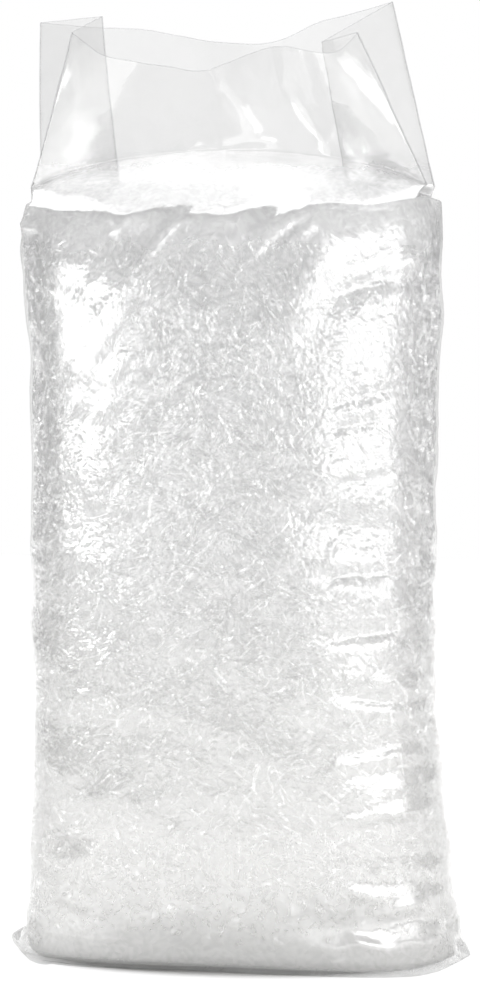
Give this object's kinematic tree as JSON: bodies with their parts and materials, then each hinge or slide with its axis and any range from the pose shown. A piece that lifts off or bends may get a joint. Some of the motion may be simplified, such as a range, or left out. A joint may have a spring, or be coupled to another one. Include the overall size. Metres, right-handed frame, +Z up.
{
  "type": "bag of cellophane shred",
  "caption": "Open-topped clear gusseted film bag, standing upright on its sealed flat base and packed with clear cellophane shred, with an empty collar above the fill.",
  "frame": {"origin": "middle of the flat base, on the surface that the bag stands on", "axes": "+Z up through the open mouth, X along the wide front panel, -Y out of the front panel that the picture shows"},
  "size_m": [0.3586, 0.199, 0.733],
  "materials": {
    "clear_film": "glossy clear film",
    "clear_shred": "glossy clear strands in a packed mass"
  },
  "bodies": {
    "root": {"film_bag": "clear_film", "shred_fill": "clear_shred"}
  },
  "joints": []
}
